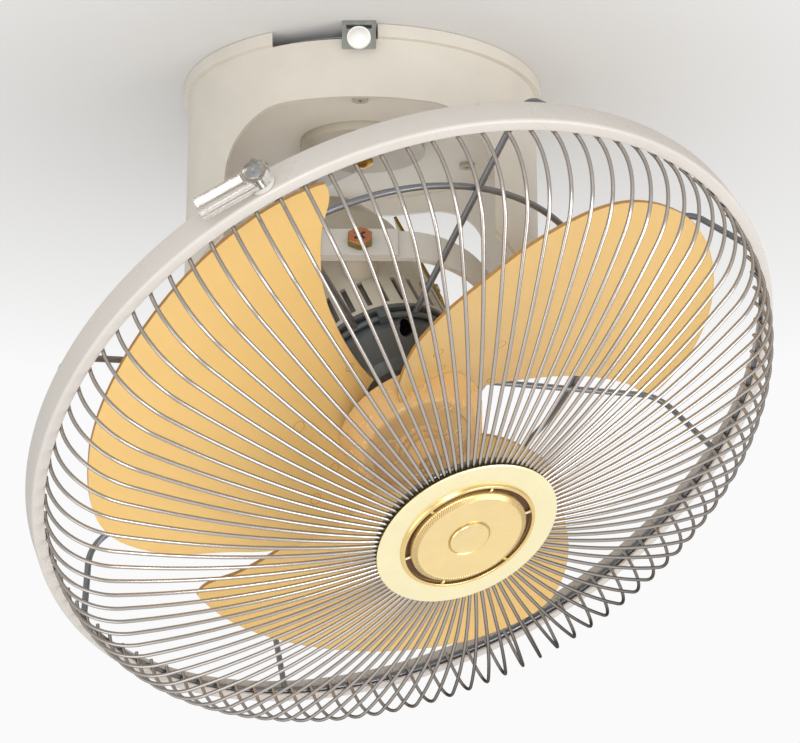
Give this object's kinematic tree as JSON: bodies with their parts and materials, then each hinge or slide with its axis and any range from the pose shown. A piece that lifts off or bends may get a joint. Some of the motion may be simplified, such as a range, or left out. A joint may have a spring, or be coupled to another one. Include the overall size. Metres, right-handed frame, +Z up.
{
  "type": "orbital ceiling fan",
  "caption": "Ceiling fan whose round guarded head hangs in a gimbal under a canopy and circles, with translucent blades behind a wire guard.",
  "frame": {"origin": "centre of the circle of ceiling screw holes, on the top face of the ceiling plate", "axes": "+Z up, out of the ceiling plate; +X along the pivots in the canopy legs; the picture looks along +Y"},
  "size_m": [0.4413, 0.4205, 0.3945],
  "materials": {
    "cream_plastic": "satin",
    "cream_metal": "satin",
    "white_metal": "satin",
    "grey_metal": "satin",
    "slate_metal": "satin",
    "zinc_steel": "satin",
    "yellow_zinc": "satin",
    "dark_rod": "gloss",
    "bright_wire": "polished",
    "core_steel": "satin",
    "copper_face": "satin",
    "brass": "satin",
    "badge_gold": "metallic",
    "dark_plastic": "matte",
    "white_plastic": "gloss",
    "gear_plastic": "satin",
    "amber_plastic": "gloss",
    "clear_plastic": "gloss"
  },
  "bodies": {
    "canopy": {"ceiling_plate": "zinc_steel", "canopy_shell": "cream_plastic", "canopy_posts": "zinc_steel", "canopy_screws": "zinc_steel", "rim_bracket": "zinc_steel", "bracket_screw": "zinc_steel", "bracket_cap": "white_plastic", "canopy_disc": "cream_plastic", "terminal_block": "white_plastic", "cable_grommet": "dark_plastic", "leg_bushes": "dark_plastic", "crank_bolt": "brass"},
    "crank": {"crank_arm": "yellow_zinc", "crank_pad": "dark_plastic"},
    "yoke": {"yoke_strap": "grey_metal", "yoke_pins": "zinc_steel", "head_pivot_screws": "copper_face"},
    "first_gear": {"gear_first": "gear_plastic"},
    "second_gear": {"gear_second": "gear_plastic"},
    "third_gear": {"gear_third": "gear_plastic"},
    "drive": {"drive_disc": "zinc_steel", "output_gear": "gear_plastic"},
    "clip": {"guard_clip": "clear_plastic"},
    "rotor": {"motor_shaft": "zinc_steel", "motor_pinion": "zinc_steel", "rotor_core": "core_steel", "blade_set": "amber_plastic", "blade_nut": "amber_plastic"},
    "head": {"motor_housing": "cream_metal", "motor_front_bracket": "slate_metal", "gear_case": "cream_plastic", "stator_core": "core_steel", "front_bearing": "zinc_steel", "rear_bearing": "zinc_steel", "gear_case_bolts": "zinc_steel", "side_link": "yellow_zinc", "link_screw": "zinc_steel", "guard_clamps": "zinc_steel", "layshaft": "zinc_steel", "layshaft_spacer": "zinc_steel", "rear_guard_spokes": "dark_rod", "rear_guard_ring": "dark_rod", "rear_guard_collar": "dark_rod", "guard_hoop": "white_metal", "guard_rim_ring": "dark_rod", "front_wires_upper": "bright_wire", "front_wires_lower": "bright_wire", "badge_ring": "dark_rod", "badge_plate": "badge_gold", "badge_insert": "dark_plastic", "badge_dome": "badge_gold", "clip_mount": "white_plastic", "clip_screw": "zinc_steel"}
  },
  "joints": [
    {"name": "yoke_swing", "type": "hinge", "parent": "canopy", "child": "yoke", "pos_m": [0, 0, -0.1565], "axis": [1, 0, 0], "range_deg": [0, 62.44]},
    {"name": "head_swing", "type": "hinge", "parent": "yoke", "child": "head", "pos_m": [0, 0, -0.1565], "axis": [0, 0.8552, -0.5183], "range_deg": [0, 40.72]},
    {"name": "rotor_spin", "type": "hinge", "parent": "head", "child": "rotor", "pos_m": [0, 0, -0.1565], "axis": [0.3479, -0.4859, -0.8018], "continuous": true},
    {"name": "first_gear_spin", "type": "hinge", "parent": "head", "child": "first_gear", "pos_m": [0.00787, 0.02363, -0.11751], "axis": [0.3479, -0.4859, -0.8018], "continuous": true},
    {"name": "second_gear_spin", "type": "hinge", "parent": "head", "child": "second_gear", "pos_m": [0, 0, -0.1565], "axis": [0.3479, -0.4859, -0.8018], "continuous": true},
    {"name": "third_gear_spin", "type": "hinge", "parent": "head", "child": "third_gear", "pos_m": [0.00787, 0.02363, -0.11751], "axis": [0.3479, -0.4859, -0.8018], "continuous": true},
    {"name": "drive_spin", "type": "hinge", "parent": "head", "child": "drive", "pos_m": [0, 0, -0.1565], "axis": [0.3479, -0.4859, -0.8018], "continuous": true},
    {"name": "crank_turn", "type": "hinge", "parent": "canopy", "child": "crank", "pos_m": [0, 0, -0.04], "axis": [0, 0, 1], "continuous": true},
    {"name": "clip_swing", "type": "hinge", "parent": "head", "child": "clip", "pos_m": [-0.04769, -0.25003, -0.1454], "axis": [-0.3436, -0.8618, 0.3732], "range_deg": [0, 90]}
  ],
  "couplings": [
    {"joint": "first_gear_spin", "follows": "rotor_spin", "ratio": -0.27273},
    {"joint": "second_gear_spin", "follows": "rotor_spin", "ratio": 0.07438},
    {"joint": "third_gear_spin", "follows": "rotor_spin", "ratio": -0.020286},
    {"joint": "drive_spin", "follows": "rotor_spin", "ratio": 0.0055324},
    {"joint": "crank_turn", "follows": "rotor_spin", "ratio": -0.0055324}
  ]
}
